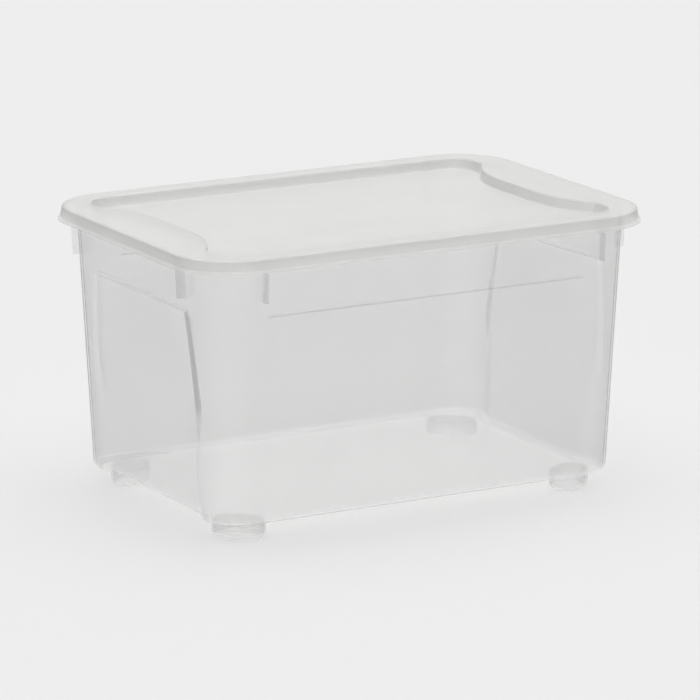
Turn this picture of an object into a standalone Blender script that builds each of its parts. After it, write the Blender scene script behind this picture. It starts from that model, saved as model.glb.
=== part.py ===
"""Clear stacking storage bin: a tapered tub on four hollow feet, and a lid that lifts off.

Metres, +Z up. The origin is on the ground under the middle of the bin, X runs along the
long sides, and the front long side faces -Y. Each moulding is one closed body.
"""

import math

import bmesh
import bpy
from mathutils import Matrix

# Overall size, lid on
LENGTH = 0.570
WIDTH = 0.394
HEIGHT = 0.316
CLEARANCE = 0.0003  # between the lid and the tub's rim
ARC_STEPS = 8  # faces round each upright corner

# Tub walls: half sizes and corner radius of the outer face at the base and near the rim
TUB_WALL = 0.0022
BASE_Z = 0.0177  # underside of the tub's base, held up by the feet
BASE_HALF = (0.249, 0.1635)
BASE_CORNER = 0.038
GAUGE_Z = 0.296  # the height at which the rim sizes below hold
GAUGE_HALF = (0.2636, 0.1754)
GAUGE_CORNER = 0.048
BASE_FILLET = 0.0095
FILLET_DEGREES = (0, 30, 60, 90)  # where a rounded lower edge has a ring
PLAIN_HEIGHTS = (0.06, 0.09, 0.12, 0.15, 0.18, 0.215)  # rings of the wall between its fillet and its step

# Rim of the tub: a flange that turns out and down
LID_WALL = 0.002
RIM_TOP = HEIGHT - LID_WALL - CLEARANCE
RIM_REACH = 0.0132  # from the wall's outer face to the outside of the turned-down edge
RIM_DROP = 0.007
RIM_ROUND = 0.001

# Step that runs round the tub below the rim, with a hand grip in each short side
STEP_Z = 0.247
STEP_RISE = 0.001
LONG_STEP_DEPTH = 0.0012
LONG_STEP_HALF = 0.197
LONG_STEP_FADE = 0.008
PANEL_HALF_TOP = 0.108
PANEL_HALF_LOW = 0.124
PANEL_FULL_Z = 0.080  # below this height the panel has its full width
PANEL_EDGE_TOP = 0.003  # how far along the wall the panel's edge takes to rise
PANEL_EDGE_LOW = 0.028
PANEL_SOFT_Z = (0.070, 0.150)  # heights between which the edge goes from soft to crisp
PANEL_DEPTH_TOP = 0.004
PANEL_DEPTH_BASE = 0.010
GRIP_HALF = 0.095
GRIP_DEPTH = 0.007
GRIP_LOW = 0.150

# Ribs under the rim, two on every side; the back and right are the front and left turned round
RIB_THICK = 0.0025
RIB_BOTTOM = 0.2646
FRONT_RIBS_X = (-0.203, 0.213)
LEFT_RIBS_Y = (-0.117, 0.1285)

# Hollow feet: ovals whose long axis crosses the corner
FOOT_CENTRE = (0.207, 0.127)
FOOT_ACROSS = 0.0296
FOOT_ALONG = 0.0207
FOOT_FILLET = 0.006
FOOT_STEPS = 24

# Lid
LID_CORNER = 0.071
SKIRT_DROP = 0.016
SKIRT_LEAN = 0.0045  # how far the top of the skirt stands in from its lower edge
SKIRT_LIP = 0.0022  # how far the lower edge flares out
LIP_LOW = 0.0015  # heights over which the lower edge flares
LIP_HIGH = 0.004
LID_EDGE = 0.003  # rounding between skirt and rim
LID_EDGE_SAG = 0.3  # share of that rounding at its middle
RECESS_DEPTH = 0.012
RECESS_HALF = (0.2425, 0.167)
RECESS_CORNER = 0.028
RECESS_DRAFT = 0.0025
RECESS_EDGE = 0.0015
BOW_DEPTH = 0.0285  # how far the short rims widen inwards at their middle
BOW_HALF = 0.123
BOW_POWER = 3.5
BOW_EASE = 0.06  # how softly the bow runs out at its ends

# Places along each side where a ring of points has one, from the middle outwards
GRIP_STATIONS = (0.0, 0.02, 0.04, 0.06, 0.078, 0.092)
TUB_LONG_STATIONS = (0.0, 0.066, 0.132, LONG_STEP_HALF - LONG_STEP_FADE, LONG_STEP_HALF)
LID_SHORT_STATIONS = (0.0, 0.02, 0.04, 0.06, 0.078, 0.092, 0.104, 0.114, BOW_HALF)
LID_LONG_STATIONS = (0.0, 0.1)

CLEAR_PLASTIC = (0.80, 0.81, 0.80, 1.0)
CLEAR_ALPHA = 0.35
LID_PLASTIC = (0.84, 0.84, 0.83, 1.0)
LID_ALPHA = 0.45
PLASTIC_ROUGHNESS = 0.28
PLASTIC_IOR = 1.49
SHARP_ANGLE = math.radians(30)


def clear_scene():
    for item in list(bpy.data.objects):
        bpy.data.objects.remove(item, do_unlink=True)


def plastic(name, colour, alpha):
    """Clear polypropylene with a soft shine."""
    material = bpy.data.materials.new(name)
    material.use_nodes = True
    shader = material.node_tree.nodes["Principled BSDF"]
    shader.inputs["Base Color"].default_value = colour
    shader.inputs["Roughness"].default_value = PLASTIC_ROUGHNESS
    shader.inputs["Metallic"].default_value = 0.0
    shader.inputs["IOR"].default_value = PLASTIC_IOR
    shader.inputs["Alpha"].default_value = alpha
    return material


def between(low, high, share):
    return low + (high - low) * share


def smooth_step(value, start, end):
    """0 at start, 1 at end, level at both."""
    share = min(max((value - start) / (end - start), 0.0), 1.0)
    return share * share * (3.0 - 2.0 * share)


def no_push(_place):
    return 0.0


def ring(z, half_x, half_y, radius, stations, push_short=no_push, push_long=no_push):
    """Points anticlockwise round a rounded rectangle at height z.

    stations gives the points on a short side and on a long side, from its middle, and each
    push moves a side's points inwards by an amount that depends on the place along it.
    """
    short_stations, long_stations = stations
    quarter = [(half_x - push_short(y), y) for y in short_stations]
    for step in range(ARC_STEPS + 1):
        angle = math.pi / 2 * step / ARC_STEPS
        quarter.append(
            (
                half_x - radius + radius * math.cos(angle),
                half_y - radius + radius * math.sin(angle),
            )
        )
    quarter += [(x, half_y - push_long(x)) for x in reversed(long_stations)]
    turn = list(quarter)
    turn += [(-x, y) for x, y in reversed(quarter)][1:]
    turn += [(-x, -y) for x, y in quarter][1:]
    turn += [(x, -y) for x, y in reversed(quarter)][1:-1]
    return [(x, y, z) for x, y in turn]


def oval(centre, tangent, outward, across, along, z):
    """An ellipse at height z with its semi-axes along the two given directions."""
    points = []
    for step in range(FOOT_STEPS):
        angle = 2 * math.pi * step / FOOT_STEPS
        a, b = across * math.cos(angle), along * math.sin(angle)
        points.append(
            (
                centre[0] + a * tangent[0] + b * outward[0],
                centre[1] + a * tangent[1] + b * outward[1],
                z,
            )
        )
    return points


def add_loft(mesh, rings):
    """Adds a closed body through a stack of rings, with a flat face on the first and last."""
    loops = [[mesh.verts.new(point) for point in points] for points in rings]
    made = []
    for lower, upper in zip(loops, loops[1:]):
        for here in range(len(lower)):
            after = (here + 1) % len(lower)
            made.append(mesh.faces.new((lower[here], lower[after], upper[after], upper[here])))
    made.append(mesh.faces.new(list(reversed(loops[0]))))
    made.append(mesh.faces.new(loops[-1]))
    bmesh.ops.recalc_face_normals(mesh, faces=made)


def as_object(name, mesh, material=None, origin=(0.0, 0.0, 0.0)):
    """Makes an object of a bmesh built in world places, with its origin where asked."""
    data = bpy.data.meshes.new(name)
    mesh.to_mesh(data)
    mesh.free()
    data.transform(Matrix.Translation([-value for value in origin]))
    item = bpy.data.objects.new(name, data)
    item.location = origin
    bpy.context.scene.collection.objects.link(item)
    if material is not None:
        data.materials.append(material)
        data.shade_smooth()
        data.set_sharp_from_angle(angle=SHARP_ANGLE)
    return item


def combine(body, helper, operation):
    """Adds or cuts a hidden helper shape with a Boolean."""
    helper.hide_render = True
    helper.display_type = "WIRE"
    modifier = body.modifiers.new(helper.name, "BOOLEAN")
    modifier.operation = operation
    modifier.solver = "EXACT"
    modifier.object = helper


# ---- tub -----------------------------------------------------------------------------


def wall_size(z):
    """Half sizes and corner radius of the tub's outer face at height z."""
    share = (z - BASE_Z) / (GAUGE_Z - BASE_Z)
    return (
        between(BASE_HALF[0], GAUGE_HALF[0], share),
        between(BASE_HALF[1], GAUGE_HALF[1], share),
        between(BASE_CORNER, GAUGE_CORNER, share),
    )


def panel_end(z):
    """Where the short side's panel ends at height z, and how far its edge takes to rise."""
    left = max(0.0, (min(z, STEP_Z) - PANEL_FULL_Z) / (STEP_Z - PANEL_FULL_Z))
    half = between(PANEL_HALF_LOW, PANEL_HALF_TOP, left**2)
    return half, between(PANEL_EDGE_LOW, PANEL_EDGE_TOP, smooth_step(z, *PANEL_SOFT_Z))


def short_side_depth(z):
    """How deep the short side's panel and its hand grip are at height z, as a function of y."""
    down = (STEP_Z - min(z, STEP_Z)) / (STEP_Z - BASE_Z)
    panel = between(PANEL_DEPTH_TOP, PANEL_DEPTH_BASE, down)
    grip = GRIP_DEPTH * smooth_step(z, GRIP_LOW, STEP_Z)
    half, edge = panel_end(z)

    def depth(y):
        inside = smooth_step(half - y, 0.0, edge)
        bowl = max(0.0, 1.0 - (y / GRIP_HALF) ** 2)
        return panel * inside + grip * bowl

    return depth


def long_side_depth(z):
    """How deep the long side is set back at height z, as a function of x."""
    fade = smooth_step(z, BASE_Z + BASE_FILLET, STEP_Z)

    def depth(x):
        return LONG_STEP_DEPTH * fade * smooth_step(LONG_STEP_HALF - x, 0.0, LONG_STEP_FADE)

    return depth


def tub_ring(z, offset, below_step):
    """A ring of the tub's skin, offset outwards from the outer wall."""
    half_x, half_y, radius = wall_size(z)
    half, edge = panel_end(z)
    short_stations = (*GRIP_STATIONS, half - edge, half - edge / 2, half)
    stations = (short_stations, TUB_LONG_STATIONS)
    size = (half_x + offset, half_y + offset, radius + offset, stations)
    if not below_step:
        return ring(z, *size)
    return ring(z, *size, short_side_depth(z), long_side_depth(z))


def fillet_rings(bottom, radius, offset):
    """Rings round the tub's lower edge, from the flat of the base up to the wall."""
    rings = []
    for degrees in FILLET_DEGREES:
        angle = math.radians(degrees)
        z = bottom + radius * (1.0 - math.cos(angle))
        rings.append(tub_ring(z, offset - radius * (1.0 - math.sin(angle)), True))
    return rings


def tub_outside():
    """Outer skin, from the base up to the underside of the rim."""
    rings = fillet_rings(BASE_Z, BASE_FILLET, 0.0)
    rings += [tub_ring(z, 0.0, True) for z in (*PLAIN_HEIGHTS, STEP_Z - STEP_RISE / 2)]
    rings.append(tub_ring(STEP_Z + STEP_RISE / 2, 0.0, False))
    return rings


def tub_rim():
    """The flange, its turned-down edge and its top."""
    profile = (
        (RIM_TOP - TUB_WALL, 0.0),
        (RIM_TOP - TUB_WALL, RIM_REACH - TUB_WALL),
        (RIM_TOP - RIM_DROP, RIM_REACH - TUB_WALL),
        (RIM_TOP - RIM_DROP, RIM_REACH),
        (RIM_TOP - RIM_ROUND, RIM_REACH),
        (RIM_TOP, RIM_REACH - RIM_ROUND),
        (RIM_TOP, RIM_ROUND - TUB_WALL),
        (RIM_TOP - RIM_ROUND, -TUB_WALL),
    )
    return [tub_ring(z, offset, False) for z, offset in profile]


def tub_inside():
    """Inner skin, from the rim down to the floor."""
    ledge = STEP_Z + TUB_WALL
    rings = [tub_ring(ledge + STEP_RISE / 2, -TUB_WALL, False)]
    heights = (ledge - STEP_RISE / 2, *reversed(PLAIN_HEIGHTS))
    rings += [tub_ring(z, -TUB_WALL, True) for z in heights]
    floor_fillet = BASE_FILLET - TUB_WALL
    rings += reversed(fillet_rings(BASE_Z + TUB_WALL, floor_fillet, -TUB_WALL))
    return rings


def corners():
    """The signs of x and y in each quarter."""
    return [(sx, sy) for sx in (-1, 1) for sy in (-1, 1)]


def foot_rings(sx, sy, profile):
    """Rings of one foot from (height, inset) pairs."""
    diagonal = math.sqrt(0.5)
    centre = (sx * FOOT_CENTRE[0], sy * FOOT_CENTRE[1])
    outward = (sx * diagonal, sy * diagonal)
    tangent = (-sy * diagonal, sx * diagonal)
    return [
        oval(centre, tangent, outward, FOOT_ACROSS - inset, FOOT_ALONG - inset, z)
        for z, inset in profile
    ]


def foot_profile(bottom, radius, inset, top):
    """(height, inset) pairs of a cup with a rounded lower edge."""
    pairs = []
    for degrees in FILLET_DEGREES:
        angle = math.radians(degrees)
        height = bottom + radius * (1.0 - math.cos(angle))
        pairs.append((height, inset + radius * (1.0 - math.sin(angle))))
    return pairs + [(top, inset)]


def feet_outside():
    """The four feet as solid ovals that reach into the thickness of the floor."""
    mesh = bmesh.new()
    profile = foot_profile(0.0, FOOT_FILLET, 0.0, BASE_Z + TUB_WALL / 2)
    for sx, sy in corners():
        add_loft(mesh, foot_rings(sx, sy, profile))
    return as_object("feet_outside", mesh)


def feet_hollows():
    """The hollows of the feet, open at the floor."""
    mesh = bmesh.new()
    top = BASE_Z + 2 * TUB_WALL
    profile = foot_profile(TUB_WALL, FOOT_FILLET - TUB_WALL, TUB_WALL, top)
    for sx, sy in corners():
        add_loft(mesh, foot_rings(sx, sy, profile))
    return as_object("feet_hollows", mesh)


def rib_rings(on_short_side, turn, place):
    """Two rings of a thin upright plate from the wall to the rim's turned-down edge.

    turn is -1 for a rib of the front or the left side and 1 for one turned round to the other.
    """
    along = -turn * place
    edges = (along - RIB_THICK / 2, along + RIB_THICK / 2)
    rings = []
    for z in (RIB_BOTTOM, RIM_TOP - TUB_WALL / 2):
        wall = wall_size(z)[0 if on_short_side else 1]
        inner = turn * (wall - TUB_WALL / 2)
        outer = turn * (wall + RIM_REACH - TUB_WALL / 2)
        turned = [(inner, edges[0]), (outer, edges[0]), (outer, edges[1]), (inner, edges[1])]
        if on_short_side:
            rings.append([(out, side, z) for out, side in turned])
        else:
            rings.append([(side, out, z) for out, side in turned])
    return rings


def ribs():
    mesh = bmesh.new()
    for on_short_side, places in ((True, LEFT_RIBS_Y), (False, FRONT_RIBS_X)):
        for place in places:
            for turn in (-1, 1):
                add_loft(mesh, rib_rings(on_short_side, turn, place))
    return as_object("rim_ribs", mesh)


def make_tub():
    """The tub: one moulding of walls, floor, rim, ribs and feet."""
    mesh = bmesh.new()
    add_loft(mesh, tub_outside() + tub_rim() + tub_inside())
    tub = as_object("tub", mesh, plastic("tub_plastic", CLEAR_PLASTIC, CLEAR_ALPHA))
    combine(tub, feet_outside(), "UNION")
    combine(tub, feet_hollows(), "DIFFERENCE")
    combine(tub, ribs(), "UNION")
    return tub


# ---- lid -----------------------------------------------------------------------------


def skirt_ring(z, inset):
    """A ring of the lid's outer edge, inset from the overall outline."""
    half_x, half_y = LENGTH / 2 - inset, WIDTH / 2 - inset
    stations = (LID_SHORT_STATIONS, LID_LONG_STATIONS)
    return ring(z, half_x, half_y, LID_CORNER - inset, stations)


def rim_bow(y):
    """How far the recess stands in from its full length at a place on a short side."""
    rise = max(0.0, 1.0 - (y / BOW_HALF) ** BOW_POWER)
    return BOW_DEPTH * rise * rise * (1.0 + BOW_EASE) / (rise + BOW_EASE)


def recess_ring(z, inset):
    """A ring of the sunken panel, inset from the edge of the rim."""
    half_x, half_y = RECESS_HALF[0] - inset, RECESS_HALF[1] - inset
    stations = (LID_SHORT_STATIONS, LID_LONG_STATIONS)
    return ring(z, half_x, half_y, RECESS_CORNER - inset, stations, rim_bow)


def lid_profile():
    """Rings from the middle of the underside, round the skirt, to the middle of the top."""
    under = HEIGHT - LID_WALL
    lower = HEIGHT - SKIRT_DROP
    panel = HEIGHT - RECESS_DEPTH
    drafted = RECESS_DRAFT + RECESS_EDGE
    sag = LID_EDGE * LID_EDGE_SAG
    return [
        recess_ring(panel - LID_WALL, drafted - LID_WALL / 2),
        recess_ring(panel - LID_WALL + RECESS_EDGE, RECESS_DRAFT - LID_WALL),
        recess_ring(under, -LID_WALL),
        skirt_ring(under, SKIRT_LEAN + LID_WALL),
        skirt_ring(lower + LIP_HIGH, SKIRT_LIP + LID_WALL),
        skirt_ring(lower, LID_WALL),
        skirt_ring(lower, 0.0),
        skirt_ring(lower + LIP_LOW, 0.0),
        skirt_ring(lower + LIP_HIGH, SKIRT_LIP),
        skirt_ring(HEIGHT - LID_EDGE, SKIRT_LEAN),
        skirt_ring(HEIGHT - sag, SKIRT_LEAN + sag),
        skirt_ring(HEIGHT, SKIRT_LEAN + LID_EDGE),
        recess_ring(HEIGHT, -RECESS_EDGE),
        recess_ring(HEIGHT - RECESS_EDGE, 0.0),
        recess_ring(panel + RECESS_EDGE, RECESS_DRAFT),
        recess_ring(panel, drafted),
    ]


def make_lid():
    """The lid: a skirt, a flat rim and a sunken panel that takes the feet of a bin above."""
    mesh = bmesh.new()
    add_loft(mesh, lid_profile())
    material = plastic("lid_plastic", LID_PLASTIC, LID_ALPHA)
    return as_object("lid", mesh, material, origin=(0.0, 0.0, HEIGHT))


clear_scene()
make_tub()
make_lid()
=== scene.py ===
"""The looks of a clear stacking storage bin: two finely rounded mouldings in frosted plastic.

Metres, +Z up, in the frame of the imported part. The tub and the lid are each rebuilt as one
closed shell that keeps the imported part's size and place, and rides on the body it stands for.
"""

import math

import bmesh
import bpy
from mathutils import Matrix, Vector


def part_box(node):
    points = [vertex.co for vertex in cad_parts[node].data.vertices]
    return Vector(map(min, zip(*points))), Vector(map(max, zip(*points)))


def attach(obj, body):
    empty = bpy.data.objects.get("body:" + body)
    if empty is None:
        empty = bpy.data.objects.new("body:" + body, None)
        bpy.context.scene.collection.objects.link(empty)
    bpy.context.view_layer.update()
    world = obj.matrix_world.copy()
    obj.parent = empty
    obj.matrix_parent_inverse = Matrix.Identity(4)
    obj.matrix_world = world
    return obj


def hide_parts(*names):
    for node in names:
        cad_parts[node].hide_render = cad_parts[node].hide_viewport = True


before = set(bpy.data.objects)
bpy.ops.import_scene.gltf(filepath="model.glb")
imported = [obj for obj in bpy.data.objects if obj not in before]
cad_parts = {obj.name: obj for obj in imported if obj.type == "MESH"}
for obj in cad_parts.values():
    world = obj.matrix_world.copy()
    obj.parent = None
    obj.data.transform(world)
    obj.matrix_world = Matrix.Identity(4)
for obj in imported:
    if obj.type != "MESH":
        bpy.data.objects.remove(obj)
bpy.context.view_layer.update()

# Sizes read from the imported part
TUB_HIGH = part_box("tub")[1]
LID_LOW, LID_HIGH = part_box("lid")
RIM_TOP = TUB_HIGH.z
LID_TOP = LID_HIGH.z
SKIRT_DROP = LID_TOP - LID_LOW.z

# Tub walls, which lean outwards towards the rim
TUB_WALL = 0.0022
BASE_Z = 0.0177  # underside of the base, held up by the feet
BASE_FILLET = 0.0095
BASE_FLAT = 0.0002  # how far the outermost ring of the base's flat lies inside that fillet
BASE_MARKED = 3  # how many rings of that fillet, from its lower end, get a painted dark line of shade
BASE_FAR_PAINTED_SHADE = 0.15  # how much painted shade they get towards the back right, where 1 is in full
RIM_REACH = 0.0132  # from the wall's outer face to the outside of the rim
RIM_DROP = 0.007
RIM_CORNER = 0.0486
RIM_ROUND_UNDER = 0.001  # where the flange leaves the wall
RIM_ROUND_LIP = 0.0008  # behind the turned-down edge, and at its outer foot
RIM_ROUND_TIP = 0.0005  # at its inner foot
RIM_ROUND_OUT = 0.0018  # along the outside of the rim's top
RIM_ROUND_IN = 0.0012  # along the mouth
LEAN_LONG = 0.0525  # how much a half length, a half width and a corner radius grow per metre
LEAN_WIDE = 0.0428
LEAN_CORNER = 0.0359

# Step that runs round the tub below the rim, with a hand grip in each short side
STEP_Z = 0.247
STEP_ROUND = 0.0010
STEP_HAIR = 0.00002  # keeps the two arcs of the step apart
LONG_STEP_DEPTH = 0.0012
LONG_STEP_HALF = 0.197
LONG_STEP_FADE = 0.008
STEP_PAINTED_SHADE = 0.8  # painted shade along the step, a dark line for the light that the ledge bends away, from 0 to 1
PANEL_HALF_TOP = 0.108
PANEL_HALF_LOW = 0.124
PANEL_FULL_Z = 0.080  # below this height the panel has its full width
PANEL_EDGE_TOP = 0.003  # how far along the wall the panel's edge takes to rise
PANEL_EDGE_LOW = 0.028
PANEL_SOFT_Z = (0.070, 0.150)  # heights between which the edge goes from soft to crisp
PANEL_NEAR_PAINTED_SHADE = 0.35  # painted shade on the edge beside the front left corner
PANEL_MARK = -0.9  # mark on the other three; one below 0 keeps the painted outline shade off them
PANEL_MARK_CRISP = (0.100, 0.150)  # heights between which the edge comes to its full mark of painted shade
PANEL_MARK_REACH = 0.002  # how far the mark goes past the edge
PANEL_DEPTH_TOP = 0.004
PANEL_DEPTH_BASE = 0.010
GRIP_HALF = 0.095
GRIP_DEPTH = 0.007
GRIP_LOW = 0.150

# Ribs under the rim, two on every side; the back and right are the front and left turned round
RIB_THICK = 0.0025
RIB_BOTTOM = 0.2646
FRONT_RIBS_X = (-0.203, 0.213)
LEFT_RIBS_Y = (-0.117, 0.1285)
RIB_ROUND = 0.002
RIB_EDGE = 0.0005
RIB_PAINTED_SHADE = 0.12  # painted shade on the front ribs and the one at the front of the left side
RIB_FAR_MARK = -1.0  # on the other ribs, which keeps the painted outline shade off them

# Hollow feet: ovals whose long axis crosses the corner
FOOT_CENTRE = (0.207, 0.127)
FOOT_ACROSS = 0.0296
FOOT_ALONG = 0.0207
FOOT_FILLET = 0.006
FOOT_FLARE = 0.0012
FOOT_LIP = 0.0015
FOOT_STEPS = 72
FOOT_MARK = -0.6  # on all the rest of a foot, which holds back the painted outline shade
FOOT_MARKED = 4  # how many rings of its fillet, from the ground, get a painted dark line of shade
FOOT_EDGE_PAINTED_SHADE = 0.45  # how much painted shade they get, except on the foot at the back right

# Lid
LID_WALL = 0.002
LID_CORNER = 0.071
SKIRT_LEAN = 0.0045  # how far the top of the skirt stands in from its lower edge
SKIRT_LIP = 0.0022  # how far the lower edge flares out
SKIRT_ROUND_UNDER = 0.0012
LIP_LOW = 0.0015  # height of that edge's upright face, and of the top of its flare
LIP_HIGH = 0.004
LIP_ROUND_HIGH = 0.002
LIP_ROUND_OUT = 0.0008
LIP_ROUND_FOOT = 0.0005
LIP_ROUND_TIP = 0.0003
LID_EDGE = 0.003
RIM_FLAT = 0.003  # stretches of flat that end the two sections of the recess
RIM_FLAT_UNDER = 0.002
PANEL_FLAT = 0.004
RECESS_DEPTH = 0.012
RECESS_HALF = (0.2425, 0.167)
RECESS_CORNER = 0.028
RECESS_DRAFT = 0.0025
RECESS_EDGE = 0.0015
RECESS_EDGE_UNDER = 0.0005
# keeps the painted outline shade off the recess of the lid
RECESS_MARK = -1.0
BOW_DEPTH = 0.0285  # how far the short rims widen inwards at their middle
BOW_HALF = 0.123
BOW_MIDDLE = 0.04  # half of the stretch that needs few points
BOW_POWER = 3.5
BOW_EASE = 0.06  # how softly the bow runs out at its ends

# How finely the meshes are divided
ARC_STEPS = 24
FILLET_STEPS = 5
RING_GAP = 0.008  # greatest height between two rings of a wall
LONG_STEP_COUNTS = (12, 6)  # steps along half a side, over the stretches between its stops
PANEL_COUNTS = (18, 2, 8)
BOW_COUNTS = (4, 26)
LID_LONG_COUNTS = (10,)
LID_LONG_HALF = 0.18
SMOOTH_BELOW = 35.0  # degrees between two faces, up to which their edge is shaded smooth
END_FLAT = 0.001  # flat beyond a foot's last round, which only sets where that round ends
HAIR = 0.0001  # a length too small to matter


# ---- shapes --------------------------------------------------------------------------


def between(low, high, share):
    return low + (high - low) * share


def smooth_step(value, start, end):
    """0 at start, 1 at end, level at both."""
    share = min(max((value - start) / (end - start), 0.0), 1.0)
    return share * share * (3.0 - 2.0 * share)


def divide(stops, counts):
    """Places from the first stop to the last, with a count of equal steps between two stops."""
    places = [stops[0]]
    for start, end, count in zip(stops, stops[1:], counts):
        places += [between(start, end, (step + 1) / count) for step in range(count)]
    return places


LONG_STEP_STOPS = (0.0, LONG_STEP_HALF - LONG_STEP_FADE, LONG_STEP_HALF)
TUB_LONG_STATIONS = divide(LONG_STEP_STOPS, LONG_STEP_COUNTS)
LID_SHORT_STATIONS = divide((0.0, BOW_MIDDLE, BOW_HALF), BOW_COUNTS)
LID_LONG_STATIONS = divide((0.0, LID_LONG_HALF), LID_LONG_COUNTS)


def no_push(_place):
    """The push of a side that stays straight."""
    return 0.0


def ring(z, half_x, half_y, radius, stations, push_short=no_push, push_long=no_push):
    """Points anticlockwise round a rounded rectangle at height z.

    stations gives the points on a short side and on a long side, from its middle, and each
    push moves a side's points inwards by an amount that depends on the place along it.
    """
    short_stations, long_stations = stations
    quarter = [(half_x - push_short(y), y) for y in short_stations]
    for step in range(ARC_STEPS + 1):
        angle = math.pi / 2 * step / ARC_STEPS
        quarter.append(
            (
                half_x - radius + radius * math.cos(angle),
                half_y - radius + radius * math.sin(angle),
            )
        )
    quarter += [(x, half_y - push_long(x)) for x in reversed(long_stations)]
    turn = list(quarter)
    turn += [(-x, y) for x, y in reversed(quarter)][1:]
    turn += [(-x, -y) for x, y in quarter][1:]
    turn += [(x, -y) for x, y in reversed(quarter)][1:-1]
    return [(x, y, z) for x, y in turn]


def rounded(corners):
    """A section through (place, height, radius) corners; one without a radius stays sharp."""
    path = [Vector(corners[0][:2])]
    for before, here, after in zip(corners, corners[1:], corners[2:]):
        corner = Vector(here[:2])
        if len(here) == 2:
            path.append(corner)
            continue
        radius = here[2]
        back = (Vector(before[:2]) - corner).normalized()
        on = (Vector(after[:2]) - corner).normalized()
        half_angle = back.angle(on) / 2
        centre = corner + (back + on).normalized() * (radius / math.sin(half_angle))
        start = corner + back * (radius / math.tan(half_angle)) - centre
        turn = start.angle_signed(corner + on * (radius / math.tan(half_angle)) - centre)
        for step in range(FILLET_STEPS + 1):
            angle = -turn * step / FILLET_STEPS
            swung = Vector(
                (
                    start.x * math.cos(angle) - start.y * math.sin(angle),
                    start.x * math.sin(angle) + start.y * math.cos(angle),
                )
            )
            path.append(centre + swung)
    path.append(Vector(corners[-1][:2]))
    return [(point.x, point.y) for point in path]


def new_mesh():
    """An empty mesh whose vertices can carry marks of painted shade along edges."""
    mesh = bmesh.new()
    mesh.verts.layers.float.new("edge")
    return mesh


def paint_edge_shade(mesh, verts, shares):
    """Gives vertices their edge marks of painted shade: 1 paints a full dark line, -1 keeps all
    painted shade off.
    """
    layer = mesh.verts.layers.float["edge"]
    for vert, share in zip(verts, shares):
        vert[layer] = share


def add_rings(mesh, rings):
    """Adds the side faces through a stack of rings and returns the rings as vertices."""
    loops = [[mesh.verts.new(point) for point in points] for points in rings]
    for lower, upper in zip(loops, loops[1:]):
        for here in range(len(lower)):
            after = (here + 1) % len(lower)
            mesh.faces.new((lower[here], lower[after], upper[after], upper[here]))
    return loops


def add_flat(mesh, outline, holes):
    """Fills a flat outline around holes in it with triangles."""
    edges = []
    for loop in [outline, *holes]:
        for here in range(len(loop)):
            edges.append(mesh.edges.get((loop[here], loop[(here + 1) % len(loop)])))
    bmesh.ops.triangle_fill(mesh, edges=edges, use_beauty=True, use_dissolve=False)


def as_object(name, mesh, material=None):
    """Turns a finished mesh into an object of the scene."""
    bmesh.ops.recalc_face_normals(mesh, faces=mesh.faces)
    data = bpy.data.meshes.new(name)
    mesh.to_mesh(data)
    mesh.free()
    item = bpy.data.objects.new(name, data)
    bpy.context.scene.collection.objects.link(item)
    if material is not None:
        data.materials.append(material)
    return item


def apply_modifiers(item):
    """Swaps an object's mesh for the one its modifiers make."""
    graph = bpy.context.evaluated_depsgraph_get()
    made = bpy.data.meshes.new_from_object(item.evaluated_get(graph))
    item.modifiers.clear()
    item.data = made


def shade(item):
    """Smooth shading that leaves the flat faces flat."""
    item.data.shade_smooth()
    item.data.set_sharp_from_angle(angle=math.radians(SMOOTH_BELOW))
    weighted = item.modifiers.new("flat_faces_first", "WEIGHTED_NORMAL")
    weighted.keep_sharp = True


# ---- tub -----------------------------------------------------------------------------


def panel_end(z):
    """Where the short side's panel ends at height z, and how far its edge takes to rise."""
    left = max(0.0, (min(z, STEP_Z) - PANEL_FULL_Z) / (STEP_Z - PANEL_FULL_Z))
    half = between(PANEL_HALF_LOW, PANEL_HALF_TOP, left**2)
    return half, between(PANEL_EDGE_LOW, PANEL_EDGE_TOP, smooth_step(z, *PANEL_SOFT_Z))


def short_side_depth(z):
    """How deep the short side's panel and its hand grip are at height z, as a function of y."""
    down = (STEP_Z - min(z, STEP_Z)) / (STEP_Z - BASE_Z)
    panel = between(PANEL_DEPTH_TOP, PANEL_DEPTH_BASE, down)
    grip = GRIP_DEPTH * smooth_step(z, GRIP_LOW, STEP_Z)
    half, edge = panel_end(z)

    def depth(y):
        inside = smooth_step(half - y, 0.0, edge)
        bowl = max(0.0, 1.0 - (y / GRIP_HALF) ** 2)
        return panel * inside + grip * bowl

    return depth


def long_side_depth(z):
    """How deep the long side is set back at height z, as a function of x."""
    fade = smooth_step(z, BASE_Z + BASE_FILLET, STEP_Z)

    def depth(x):
        return LONG_STEP_DEPTH * fade * smooth_step(LONG_STEP_HALF - x, 0.0, LONG_STEP_FADE)

    return depth


def step_bend(depth, drop):
    """How much of a full depth is reached at a drop below the top of the step's two arcs."""

    def eased(place):
        full = depth(place)
        reach = min(STEP_ROUND, full / 2)
        if drop <= STEP_ROUND:
            return reach * (1.0 - math.sqrt(max(0.0, 1.0 - (drop / STEP_ROUND) ** 2)))
        left = min((2 * STEP_ROUND - drop) / STEP_ROUND, 1.0)
        return full - reach * (1.0 - math.sqrt(max(0.0, 1.0 - left**2)))

    return eased


def wall_ring(offset, z, short=no_push, long=no_push):
    """A ring of the tub's skin, offset outwards from the outer wall and pushed in as asked."""
    above = RIM_TOP - z
    half_x = TUB_HIGH.x - RIM_REACH - LEAN_LONG * above + offset
    half_y = TUB_HIGH.y - RIM_REACH - LEAN_WIDE * above + offset
    radius = RIM_CORNER - LEAN_CORNER * above + offset
    half, edge = panel_end(z)
    short_stations = divide((0.0, GRIP_HALF, half - edge, half), PANEL_COUNTS)
    return ring(z, half_x, half_y, radius, (short_stations, TUB_LONG_STATIONS), short, long)


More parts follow.
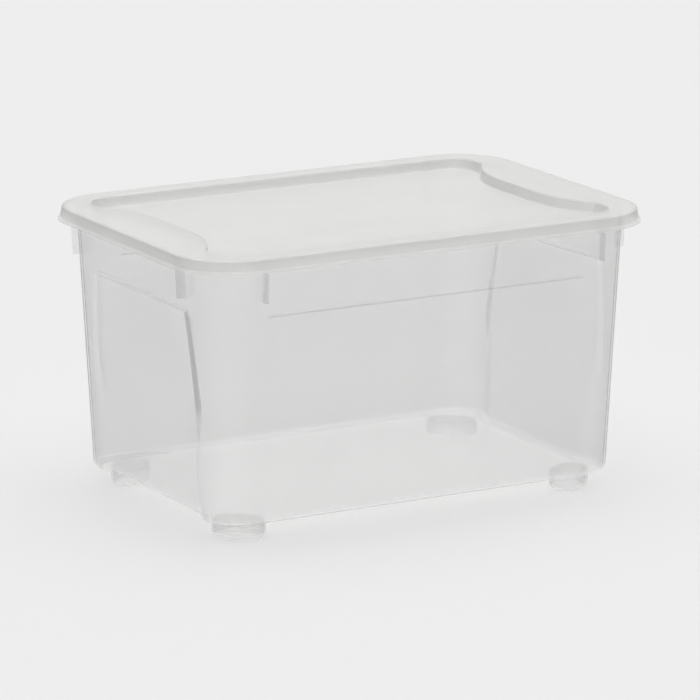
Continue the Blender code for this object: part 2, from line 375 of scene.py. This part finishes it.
def tub_ring(offset, z, step_z):
    """A ring of the tub's skin with its step at step_z."""
    drop = step_z + STEP_ROUND - z
    if drop <= 0.0:
        return wall_ring(offset, z)
    short, long = short_side_depth(z), long_side_depth(z)
    if drop < 2 * STEP_ROUND:
        short, long = step_bend(short, drop), step_bend(long, drop)
    return wall_ring(offset, z, short, long)


def panel_marks(points, z):
    """Painted shade marks along the panel's upright edges, which darken only where they are crisp.
    """
    if z >= STEP_Z:
        return [0.0] * len(points)
    half, edge = panel_end(z)
    crisp = smooth_step(z, *PANEL_MARK_CRISP)
    marks = []
    for x, y, _z in points:
        on_edge = half - edge - PANEL_MARK_REACH < abs(y) < half + PANEL_MARK_REACH
        mark = PANEL_NEAR_PAINTED_SHADE if x < 0.0 and y < 0.0 else PANEL_MARK
        marks.append(between(-1.0, mark, crisp) if on_edge else 0.0)
    return marks


def step_marks(offset, z, step_z):
    """Painted shade marks of a ring at height z, those of the step only on the outside of the tub.
    """
    plain = wall_ring(offset, z)
    if abs(z - step_z) > STEP_ROUND - STEP_HAIR:
        return panel_marks(plain, z)
    if offset < 0.0:
        return [0.0] * len(plain)
    full = wall_ring(offset, z, short_side_depth(z), long_side_depth(z))
    depths = [(Vector(one) - Vector(other)).length for one, other in zip(plain, full)]
    return [smooth_step(depth, 0.0, LONG_STEP_DEPTH) * STEP_PAINTED_SHADE for depth in depths]


def step_heights(step_z):
    """Heights of the rings through a step, close together where its arcs turn."""
    turns = [math.sin(math.pi / 2 * step / FILLET_STEPS) for step in range(1, FILLET_STEPS)]
    drops = [0.0, *(STEP_ROUND * turn for turn in turns), STEP_ROUND]
    drops += [2 * STEP_ROUND - drop for drop in reversed(drops[:-1])]
    drops.insert(FILLET_STEPS + 1, STEP_ROUND + STEP_HAIR)
    return [step_z + STEP_ROUND - drop for drop in drops]


def wall_heights(step_z, low, high):
    """Heights of a wall's rings from low to high, with those of the step among them."""
    steps = sorted(step_heights(step_z))
    below = divide((low, steps[0]), (math.ceil((steps[0] - low) / RING_GAP),))
    above = divide((steps[-1], high), (math.ceil((high - steps[-1]) / RING_GAP),))
    return below[1:-1] + steps + above[1:-1]


def tub_rings():
    """Rings from the flat of the base, up the outside, over the rim and down to the floor.

    Each comes with the painted shade marks of its points.
    """
    flange = RIM_TOP - TUB_WALL
    outside = rounded(
        [
            (-BASE_FILLET - BASE_FLAT, BASE_Z),
            (0.0, BASE_Z, BASE_FILLET),
            (0.0, flange, RIM_ROUND_UNDER),
            (RIM_REACH - TUB_WALL, flange, RIM_ROUND_LIP),
            (RIM_REACH - TUB_WALL, RIM_TOP - RIM_DROP, RIM_ROUND_TIP),
            (RIM_REACH, RIM_TOP - RIM_DROP, RIM_ROUND_LIP),
            (RIM_REACH, RIM_TOP, RIM_ROUND_OUT),
            (-TUB_WALL, RIM_TOP, RIM_ROUND_IN),
            (-TUB_WALL, BASE_Z + TUB_WALL, BASE_FILLET - TUB_WALL),
            (-BASE_FILLET - BASE_FLAT, BASE_Z + TUB_WALL),
        ]
    )
    places = []
    arc = FILLET_STEPS + 1
    first_wall, last_wall = 1 + arc, len(outside) - 1 - arc
    inner_step = STEP_Z + TUB_WALL
    for index, (offset, z) in enumerate(outside):
        below = outside[index - 1][1]
        if index == first_wall:
            places += [(0.0, height, STEP_Z) for height in wall_heights(STEP_Z, below, z)]
        if index == last_wall:
            heights = reversed(wall_heights(inner_step, z, below))
            places += [(-TUB_WALL, height, inner_step) for height in heights]
        places.append((offset, z, STEP_Z))
    rings = [(tub_ring(*place), step_marks(*place)) for place in places]
    # Painted shade: a dark line along the foot of the base's fillet, in full towards the front
    # left
    for points, marks in rings[1 : 1 + BASE_MARKED]:
        marks[:] = [1.0 if x + y < 0.0 else BASE_FAR_PAINTED_SHADE for x, y, _z in points]
    return rings


def corners():
    """The signs of x and y in each quarter."""
    return [(sx, sy) for sx in (-1, 1) for sy in (-1, 1)]


def foot_rings(sx, sy, profile):
    """Rings of one foot from (inset, height) pairs."""
    diagonal = math.sqrt(0.5)
    tangent = Vector((-sy, sx)) * diagonal
    outward = Vector((sx, sy)) * diagonal
    centre = Vector((sx * FOOT_CENTRE[0], sy * FOOT_CENTRE[1]))
    rings = []
    for inset, z in profile:
        points = []
        for step in range(FOOT_STEPS):
            angle = 2 * math.pi * step / FOOT_STEPS
            along = tangent * ((FOOT_ACROSS - inset) * math.cos(angle))
            place = centre + along + outward * ((FOOT_ALONG - inset) * math.sin(angle))
            points.append((place.x, place.y, z))
        rings.append(points)
    return rings


def foot_outside():
    """(inset, height) pairs from the foot's flat bottom up to the flare into the base."""
    section = rounded(
        [
            (FOOT_FILLET + END_FLAT, 0.0),
            (0.0, 0.0, FOOT_FILLET),
            (0.0, BASE_Z, FOOT_FLARE),
            (-FOOT_FLARE - END_FLAT, BASE_Z),
        ]
    )
    return section[1:-1]


def foot_hollow():
    """(inset, height) pairs from the cup's flat bottom up to its lip in the floor."""
    floor = BASE_Z + TUB_WALL
    section = rounded(
        [
            (FOOT_FILLET + END_FLAT, TUB_WALL),
            (TUB_WALL, TUB_WALL, FOOT_FILLET - TUB_WALL),
            (TUB_WALL, floor, FOOT_LIP),
            (TUB_WALL - FOOT_LIP - END_FLAT, floor),
        ]
    )
    return section[1:-1]


def rib(mesh, on_short_side, turn, place):
    """Adds a thin upright plate from the wall to the rim, rounded at its lower outer corner.

    turn is -1 for a rib of the front or the left side and 1 for one turned round to the other.
    """
    top = RIM_TOP - TUB_WALL / 2
    rim = (TUB_HIGH.x if on_short_side else TUB_HIGH.y) - TUB_WALL / 2
    lean = LEAN_LONG if on_short_side else LEAN_WIDE
    foot = rim - lean * (top - RIB_BOTTOM)
    inner = foot - RIM_REACH
    section = rounded(
        [(inner, top), (inner, RIB_BOTTOM), (foot, RIB_BOTTOM, RIB_ROUND), (rim, top)]
    )
    rings = []
    for side in (-RIB_THICK / 2, RIB_THICK / 2):
        along = -turn * place + side
        if on_short_side:
            rings.append([(turn * out, along, z) for out, z in section])
        else:
            rings.append([(along, turn * out, z) for out, z in section])
    loops = add_rings(mesh, rings)
    for loop in loops:
        mesh.faces.new(loop)


def make_ribs():
    """All eight ribs as one object, with softened edges."""
    mesh = bmesh.new()
    for on_short_side, places in ((True, LEFT_RIBS_Y), (False, FRONT_RIBS_X)):
        for place in places:
            for turn in (-1, 1):
                rib(mesh, on_short_side, turn, place)
    item = as_object("rim_ribs", mesh)
    bevel = item.modifiers.new("soft_edges", "BEVEL")
    bevel.width = RIB_EDGE
    bevel.segments = 2
    bevel.limit_method = "ANGLE"
    apply_modifiers(item)
    return item


def paint_rib_shade(tub):
    """Gives the ribs' vertices their painted shade marks once they are part of the tub, since a
    union loses their marks.
    """
    marks = tub.data.attributes["edge"].data
    reach = RIB_THICK / 2 + HAIR
    for vert in tub.data.vertices:
        x, y, z = vert.co
        above = RIM_TOP - z
        if not TUB_WALL < above < RIM_TOP - RIB_BOTTOM + HAIR:
            continue
        on_short_side = abs(x) > TUB_HIGH.x - RIM_REACH - LEAN_LONG * above + HAIR
        on_long_side = abs(y) > TUB_HIGH.y - RIM_REACH - LEAN_WIDE * above + HAIR
        if on_short_side:
            turned, along, places = x > 0.0, y, LEFT_RIBS_Y
        elif on_long_side:
            turned, along, places = y > 0.0, x, FRONT_RIBS_X
        else:
            continue
        for place in places:
            if abs(along - (-place if turned else place)) < reach:
                near = not turned and place != LEFT_RIBS_Y[1]
                marks[vert.index].value = RIB_PAINTED_SHADE if near else RIB_FAR_MARK


def make_tub(material):
    """The tub: one moulding of walls, floor, rim, ribs and hollow feet."""
    mesh = new_mesh()
    rings = tub_rings()
    skin = add_rings(mesh, [points for points, _marks in rings])
    for loop, (_points, marks) in zip(skin, rings):
        paint_edge_shade(mesh, loop, marks)
    under, inside = [], []
    for sx, sy in corners():
        outer = add_rings(mesh, foot_rings(sx, sy, foot_outside()))
        cup = add_rings(mesh, foot_rings(sx, sy, foot_hollow()))
        for loop in outer[:-1] + cup[:-1]:
            paint_edge_shade(mesh, loop, [FOOT_MARK] * FOOT_STEPS)
        # Painted shade: a dark line along a foot's lowest rings, left off the foot at the back
        # right
        at_back_right = sx > 0 and sy > 0
        if not at_back_right:
            for loop in outer[:FOOT_MARKED]:
                paint_edge_shade(mesh, loop, [FOOT_EDGE_PAINTED_SHADE] * FOOT_STEPS)
        mesh.faces.new(outer[0])
        mesh.faces.new(cup[0])
        under.append(outer[-1])
        inside.append(cup[-1])
    add_flat(mesh, skin[0], under)
    add_flat(mesh, skin[-1], inside)
    tub = as_object("tub_moulding", mesh, material)
    ribs = make_ribs()
    union = tub.modifiers.new("ribs", "BOOLEAN")
    union.operation = "UNION"
    union.solver = "EXACT"
    union.object = ribs
    apply_modifiers(tub)
    bpy.data.objects.remove(ribs, do_unlink=True)
    paint_rib_shade(tub)
    shade(tub)
    return tub


# ---- lid -----------------------------------------------------------------------------


def skirt_ring(inset, z):
    """A ring of the lid's outer edge, inset from the overall outline."""
    half_x, half_y = LID_HIGH.x - inset, LID_HIGH.y - inset
    stations = (LID_SHORT_STATIONS, LID_LONG_STATIONS)
    return ring(z, half_x, half_y, LID_CORNER - inset, stations)


def rim_bow(y):
    """How far the recess stands in from its full length at a place on a short side."""
    rise = max(0.0, 1.0 - (y / BOW_HALF) ** BOW_POWER)
    return BOW_DEPTH * rise * rise * (1.0 + BOW_EASE) / (rise + BOW_EASE)


def recess_ring(inset, z):
    """A ring of the sunken panel, inset from the edge of the rim."""
    half_x, half_y = RECESS_HALF[0] - inset, RECESS_HALF[1] - inset
    stations = (LID_SHORT_STATIONS, LID_LONG_STATIONS)
    return ring(z, half_x, half_y, RECESS_CORNER - inset, stations, rim_bow)


def recess_section(underneath):
    """(inset, height) pairs of the recess: its lower face upwards, or its upper face downwards."""
    panel = LID_TOP - RECESS_DEPTH
    if underneath:
        return rounded(
            [
                (RECESS_DRAFT + PANEL_FLAT, panel - LID_WALL),
                (RECESS_DRAFT - LID_WALL, panel - LID_WALL, RECESS_EDGE + LID_WALL / 2),
                (-LID_WALL, LID_TOP - LID_WALL, RECESS_EDGE_UNDER),
                (-LID_WALL - RIM_FLAT_UNDER, LID_TOP - LID_WALL),
            ]
        )
    return rounded(
        [
            (-RIM_FLAT, LID_TOP),
            (0.0, LID_TOP, RECESS_EDGE),
            (RECESS_DRAFT, panel, RECESS_EDGE),
            (RECESS_DRAFT + PANEL_FLAT, panel),
        ]
    )


def lid_rings():
    """Rings from the middle of the underside, round the skirt, to the middle of the top."""
    under = LID_TOP - LID_WALL
    lower = LID_TOP - SKIRT_DROP
    skirt = rounded(
        [
            (SKIRT_LEAN + LID_WALL + LID_EDGE, under),
            (SKIRT_LEAN + LID_WALL, under, SKIRT_ROUND_UNDER),
            (SKIRT_LIP + LID_WALL, lower + LIP_HIGH, LIP_ROUND_HIGH),
            (LID_WALL, lower, LIP_ROUND_TIP),
            (0.0, lower, LIP_ROUND_FOOT),
            (0.0, lower + LIP_LOW, LIP_ROUND_OUT),
            (SKIRT_LIP, lower + LIP_HIGH, LIP_ROUND_HIGH),
            (SKIRT_LEAN, LID_TOP, LID_EDGE),
            (SKIRT_LEAN + 2 * LID_EDGE, LID_TOP),
        ]
    )
    rings = [recess_ring(*pair) for pair in recess_section(underneath=True)]
    rings += [skirt_ring(*pair) for pair in skirt]
    rings += [recess_ring(*pair) for pair in recess_section(underneath=False)]
    return rings


def make_lid(material):
    """The lid: a skirt, a flat rim and a sunken panel that takes the feet of a bin above."""
    mesh = new_mesh()
    loops = add_rings(mesh, lid_rings())
    below, above = len(recess_section(underneath=True)), len(recess_section(underneath=False))
    # The recess is kept free of painted outline shade
    for loop in loops[:below] + loops[-above:]:
        paint_edge_shade(mesh, loop, [RECESS_MARK] * len(loop))
    mesh.faces.new(loops[0])
    mesh.faces.new(loops[-1])
    lid = as_object("lid_moulding", mesh, material)
    shade(lid)
    return lid


# ---- materials -----------------------------------------------------------------------

WHITE = (1.0, 1.0, 1.0)
PLASTIC_IOR = 1.49
CLEAR_COLOUR = (0.985, 0.985, 0.985)
SHADOW_PASS = 0.955  # share of the scattered light that still goes straight on into a shadow
OUTLINE_SHADE_FACING = (0.73, 0.86)  # how edge on a wall must be seen for its outline to get painted shade
LEVEL_FADE = 1.6  # how fast that stops as a wall leans over towards level
EDGE_PAINTED_HAZE = 0.6  # haze that a full edge mark adds, part of the painted shade
EDGE_PAINTED_SHADE = 0.28  # share of the colour that a full edge mark takes away as painted shade
FLOW_SCALE = 9.0  # slow streaks in the haze, drawn out along the height
FLOW_STRETCH = (1.0, 1.0, 0.35)
FLOW_RANGE = (0.85, 1.15)
GRAIN_SCALE = 900.0
SHINE_SCALE = 60.0
COARSE_DETAIL = 3.0
FINE_DETAIL = 2.0
MIRROR_HEAD_ON = 0.04
MIRROR_GRAZING = 0.45  # added to that when the surface is seen edge on
MIRROR_POWER = 5.0


def link(tree, source, target):
    """Joins an output to an input."""
    tree.links.new(source, target)


def value(tree, operation, first, second=None, clamp=False):
    """A Math node; each input is a number or another node's output."""
    node = tree.nodes.new("ShaderNodeMath")
    node.operation = operation
    node.use_clamp = clamp
    for place, given in enumerate((first, second)):
        if given is None:
            continue
        if isinstance(given, (int, float)):
            node.inputs[place].default_value = given
        else:
            link(tree, given, node.inputs[place])
    return node.outputs[0]


def noise(tree, scale, detail, stretch=(1.0, 1.0, 1.0)):
    """Noise from 0 to 1 in object space, with a scale per metre."""
    place = tree.nodes.new("ShaderNodeTexCoord")
    mapping = tree.nodes.new("ShaderNodeMapping")
    mapping.inputs["Scale"].default_value = stretch
    texture = tree.nodes.new("ShaderNodeTexNoise")
    texture.inputs["Scale"].default_value = scale
    texture.inputs["Detail"].default_value = detail
    link(tree, place.outputs["Object"], mapping.inputs["Vector"])
    link(tree, mapping.outputs["Vector"], texture.inputs["Vector"])
    return texture.outputs["Fac"]


def remap(tree, source, low, high):
    """A 0 to 1 value stretched to run from low to high."""
    node = tree.nodes.new("ShaderNodeMapRange")
    node.inputs["To Min"].default_value = low
    node.inputs["To Max"].default_value = high
    link(tree, source, node.inputs["Value"])
    return node.outputs["Result"]


def scaled(tree, colour, factor):
    """A colour times another node's value."""
    node = tree.nodes.new("ShaderNodeVectorMath")
    node.operation = "SCALE"
    node.inputs[0].default_value = colour
    link(tree, factor, node.inputs["Scale"])
    return node.outputs[0]


def mix(tree, share, first, second):
    """Two shaders mixed by a number or by another node's output."""
    node = tree.nodes.new("ShaderNodeMixShader")
    if isinstance(share, float):
        node.inputs[0].default_value = share
    else:
        link(tree, share, node.inputs[0])
    link(tree, first, node.inputs[1])
    link(tree, second, node.inputs[2])
    return node.outputs[0]


def shader(tree, kind, colour, roughness=None):
    """A shader node of one colour, given as red, green, blue or as another node's output."""
    node = tree.nodes.new("ShaderNodeBsdf" + kind)
    if isinstance(colour, tuple):
        node.inputs["Color"].default_value = (*colour, 1.0)
    else:
        link(tree, colour, node.inputs["Color"])
    if roughness is not None:
        link(tree, roughness, node.inputs["Roughness"])
    return node


def frosted_plastic(name, colour, haze, glow, rough, grain, slant_painted_shade, level_painted_light):
    """Clear polypropylene: see-through head on, milky at a slant, with a soft shine.

    haze is how much of the light one face scatters when seen head on, glow is the share of
    that which comes through from behind, rough is the range of the shine's roughness, and
    grain is the depth of the surface's fine texture in metres. slanted is painted shade: how
    much darker an upright wall gets as it turns from the viewer. raised is painted light: how
    much lighter the milky part of a level face is, or painted shade that makes it darker when
    it is below 0.
    """
    material = bpy.data.materials.new(name)
    material.use_nodes = True
    tree = material.node_tree
    tree.nodes.clear()

    slant = tree.nodes.new("ShaderNodeLayerWeight")
    slant.inputs["Blend"].default_value = 0.5
    facing = slant.outputs["Facing"]
    # The light's way through a wall, longer at a slant by the law of refraction
    head_on = value(tree, "SUBTRACT", 1.0, facing)
    bent = value(tree, "SUBTRACT", 1.0, value(tree, "POWER", head_on, 2.0))
    bent = value(tree, "MULTIPLY", bent, 1.0 / PLASTIC_IOR**2)
    path = value(tree, "POWER", value(tree, "SUBTRACT", 1.0, bent), -0.5)

    normal = tree.nodes.new("ShaderNodeNewGeometry").outputs["Normal"]
    split = tree.nodes.new("ShaderNodeSeparateXYZ")
    link(tree, normal, split.inputs[0])
    # Painted shade on outlines: upright walls seen nearly edge on darken, and the marked edges
    # with them
    level = value(tree, "ABSOLUTE", split.outputs["Z"])
    upright = value(tree, "MULTIPLY", level, LEVEL_FADE)
    upright = value(tree, "SUBTRACT", 1.0, upright, clamp=True)
    rim = tree.nodes.new("ShaderNodeMapRange")
    rim.interpolation_type = "SMOOTHSTEP"
    rim.inputs["From Min"].default_value = OUTLINE_SHADE_FACING[0]
    rim.inputs["From Max"].default_value = OUTLINE_SHADE_FACING[1]
    link(tree, facing, rim.inputs["Value"])
    rim = value(tree, "MULTIPLY", rim.outputs["Result"], upright)
    edge = tree.nodes.new("ShaderNodeAttribute")
    edge.attribute_name = "edge"
    dark = value(tree, "ADD", rim, edge.outputs["Fac"], clamp=True)

    flow = remap(tree, noise(tree, FLOW_SCALE, COARSE_DETAIL, FLOW_STRETCH), *FLOW_RANGE)
    depth = value(tree, "MULTIPLY", value(tree, "MULTIPLY", flow, -haze), path)
    depth = value(tree, "SUBTRACT", depth, value(tree, "MULTIPLY", dark, EDGE_PAINTED_HAZE))
    milky = value(tree, "SUBTRACT", 1.0, value(tree, "EXPONENT", depth), clamp=True)
    shadow = tree.nodes.new("ShaderNodeLightPath").outputs["Is Shadow Ray"]
    kept = value(tree, "SUBTRACT", 1.0, value(tree, "MULTIPLY", shadow, SHADOW_PASS))
    milky = value(tree, "MULTIPLY", milky, kept)
    # Painted shade: marked edges, outlines and upright walls turned from the viewer are darkened
    # in the colour
    edge_painted_shade = value(tree, "MULTIPLY", dark, EDGE_PAINTED_SHADE)
    turned_painted_shade = value(tree, "MULTIPLY", value(tree, "MULTIPLY", facing, upright), slant_painted_shade)
    painted_shade = value(tree, "MULTIPLY", value(tree, "ADD", edge_painted_shade, turned_painted_shade), kept)
    painted_shade_tint = value(tree, "SUBTRACT", 1.0, painted_shade)
    # Painted light: level faces lighter in colour, or painted shade for a setting below 0
    painted_level_light = value(tree, "ADD", value(tree, "MULTIPLY", level, level_painted_light), 1.0)
    body_colour = scaled(tree, colour, value(tree, "MULTIPLY", painted_shade_tint, painted_level_light))
    clear_colour = scaled(tree, CLEAR_COLOUR, painted_shade_tint)

    height = value(tree, "MULTIPLY", noise(tree, GRAIN_SCALE, FINE_DETAIL), grain)
    bump = tree.nodes.new("ShaderNodeBump")
    bump.inputs["Strength"].default_value = 1.0
    bump.inputs["Distance"].default_value = 1.0
    link(tree, height, bump.inputs["Height"])

    clear = shader(tree, "Transparent", clear_colour)
    front = shader(tree, "Diffuse", body_colour)
    through = shader(tree, "Translucent", body_colour)
    patches = noise(tree, SHINE_SCALE, COARSE_DETAIL)
    shine = shader(tree, "Glossy", WHITE, remap(tree, patches, *rough))
    for node in (front, through, shine):
        link(tree, bump.outputs["Normal"], node.inputs["Normal"])

    body = mix(tree, glow, front.outputs[0], through.outputs[0])
    plastic = mix(tree, milky, clear.outputs[0], body)
    steep = value(tree, "POWER", facing, MIRROR_POWER)
    mirror = value(tree, "MULTIPLY", steep, MIRROR_GRAZING)
    mirror = value(tree, "ADD", mirror, MIRROR_HEAD_ON)
    mirror = value(tree, "MULTIPLY", mirror, kept)
    surface = mix(tree, mirror, plastic, shine.outputs[0])
    output = tree.nodes.new("ShaderNodeOutputMaterial")
    link(tree, surface, output.inputs["Surface"])
    return material


# ---- stage ---------------------------------------------------------------------------

FLOOR_COLOUR = (0.80, 0.80, 0.80)
FLOOR_HALF = 60.0
SKY_BRIGHT_SIDE = (0.8, 0.6)  # the side, behind and to the right of the bin, that is lightest
SKY_LOW = (0.22, 0.85)  # light near the horizon on the darkest and the lightest side
SKY_HIGH = 1.385  # light of the broad patch overhead
PATCH_Z = (0.68, 0.82)  # height of a direction at which that patch begins, and is in full
LAMP_Z = (0.983, 0.990)  # a small strong patch straight above, which draws thin highlights
LAMP_POWER = 6.0
CAMERA_TURN = -29.41  # degrees from straight in front, towards the left
CAMERA_RISE = 13.69  # degrees
CAMERA_DISTANCE = 5.516
CAMERA_TARGET = (0.001, 0.0, 0.1517)
CAMERA_SENSOR = 36.0  # sensor and lens in millimetres
CAMERA_LENS = 257.14
CAMERA_FAR = 200.0
CLEAR_LAYERS = 48  # clear surfaces that light may cross


def make_floor():
    """A plain pale floor, which isn't seen from below."""
    mesh = bmesh.new()
    spots = [(-1, -1), (1, -1), (1, 1), (-1, 1)]
    mesh.faces.new([mesh.verts.new((FLOOR_HALF * x, FLOOR_HALF * y, 0.0)) for x, y in spots])
    floor = as_object("floor", mesh)
    material = bpy.data.materials.new("pale_floor")
    material.use_nodes = True
    tree = material.node_tree
    tree.nodes.clear()
    side = tree.nodes.new("ShaderNodeNewGeometry").outputs["Backfacing"]
    top = shader(tree, "Diffuse", FLOOR_COLOUR)
    below = shader(tree, "Transparent", WHITE)
    output = tree.nodes.new("ShaderNodeOutputMaterial")
    link(tree, mix(tree, side, top.outputs[0], below.outputs[0]), output.inputs["Surface"])
    floor.data.materials.append(material)


def make_light():
    """Studio light: dim at the front left, bright at the back right, a broad soft patch above."""
    world = bpy.data.worlds.new("studio")
    bpy.context.scene.world = world
    world.use_nodes = True
    tree = world.node_tree
    tree.nodes.clear()
    place = tree.nodes.new("ShaderNodeTexCoord")
    split = tree.nodes.new("ShaderNodeSeparateXYZ")
    link(tree, place.outputs["Generated"], split.inputs[0])
    towards_x = value(tree, "MULTIPLY", split.outputs["X"], SKY_BRIGHT_SIDE[0])
    towards_y = value(tree, "MULTIPLY", split.outputs["Y"], SKY_BRIGHT_SIDE[1])
    low = tree.nodes.new("ShaderNodeMapRange")
    low.inputs["From Min"].default_value = -1.0
    low.inputs["To Min"].default_value = SKY_LOW[0]
    low.inputs["To Max"].default_value = SKY_LOW[1]
    link(tree, value(tree, "ADD", towards_x, towards_y), low.inputs["Value"])
    patch = tree.nodes.new("ShaderNodeMapRange")
    patch.interpolation_type = "SMOOTHSTEP"
    patch.inputs["From Min"].default_value = PATCH_Z[0]
    patch.inputs["From Max"].default_value = PATCH_Z[1]
    patch.inputs["To Max"].default_value = SKY_HIGH
    link(tree, low.outputs["Result"], patch.inputs["To Min"])
    link(tree, split.outputs["Z"], patch.inputs["Value"])
    background = tree.nodes.new("ShaderNodeBackground")
    background.inputs["Color"].default_value = (*WHITE, 1.0)
    lamp = tree.nodes.new("ShaderNodeMapRange")
    lamp.interpolation_type = "SMOOTHSTEP"
    lamp.inputs["From Min"].default_value = LAMP_Z[0]
    lamp.inputs["From Max"].default_value = LAMP_Z[1]
    lamp.inputs["To Max"].default_value = LAMP_POWER
    link(tree, split.outputs["Z"], lamp.inputs["Value"])
    strength = value(tree, "ADD", patch.outputs["Result"], lamp.outputs["Result"])
    link(tree, strength, background.inputs["Strength"])
    output = tree.nodes.new("ShaderNodeOutputWorld")
    link(tree, background.outputs[0], output.inputs["Surface"])


def make_camera():
    """A long lens a few metres away, a little above the bin and to the left of its front."""
    turn, rise = math.radians(CAMERA_TURN), math.radians(CAMERA_RISE)
    back = Vector(
        (math.sin(turn) * math.cos(rise), -math.cos(turn) * math.cos(rise), math.sin(rise))
    )
    data = bpy.data.cameras.new("camera")
    data.sensor_width = CAMERA_SENSOR
    data.lens = CAMERA_LENS
    data.clip_end = CAMERA_FAR
    camera = bpy.data.objects.new("camera", data)
    camera.location = Vector(CAMERA_TARGET) + back * CAMERA_DISTANCE
    camera.rotation_mode = "QUATERNION"
    camera.rotation_quaternion = (-back).to_track_quat("-Z", "Y")
    bpy.context.scene.collection.objects.link(camera)
    bpy.context.scene.camera = camera


# Both plastics paint shade on walls turned from the viewer and light or shade on level faces
tub_plastic = frosted_plastic(
    "tub_plastic",
    colour=(0.62, 0.62, 0.617),
    haze=0.12,
    glow=0.45,
    rough=(0.14, 0.24),
    grain=0.00002,
    slant_painted_shade=0.06,
    level_painted_light=0.62,
)
lid_plastic = frosted_plastic(
    "lid_plastic",
    colour=(0.885, 0.885, 0.865),
    haze=0.36,
    glow=0.30,
    rough=(0.26, 0.38),
    grain=0.00004,
    slant_painted_shade=0.29,
    level_painted_light=-0.17,
)
tub = make_tub(tub_plastic)
lid = make_lid(lid_plastic)
for piece, body in ((tub, "tub"), (lid, "lid")):
    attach(piece, body)
    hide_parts(body)

make_floor()
make_light()
make_camera()
bpy.context.scene.view_settings.view_transform = "Standard"
bpy.context.scene.cycles.transparent_max_bounces = CLEAR_LAYERS
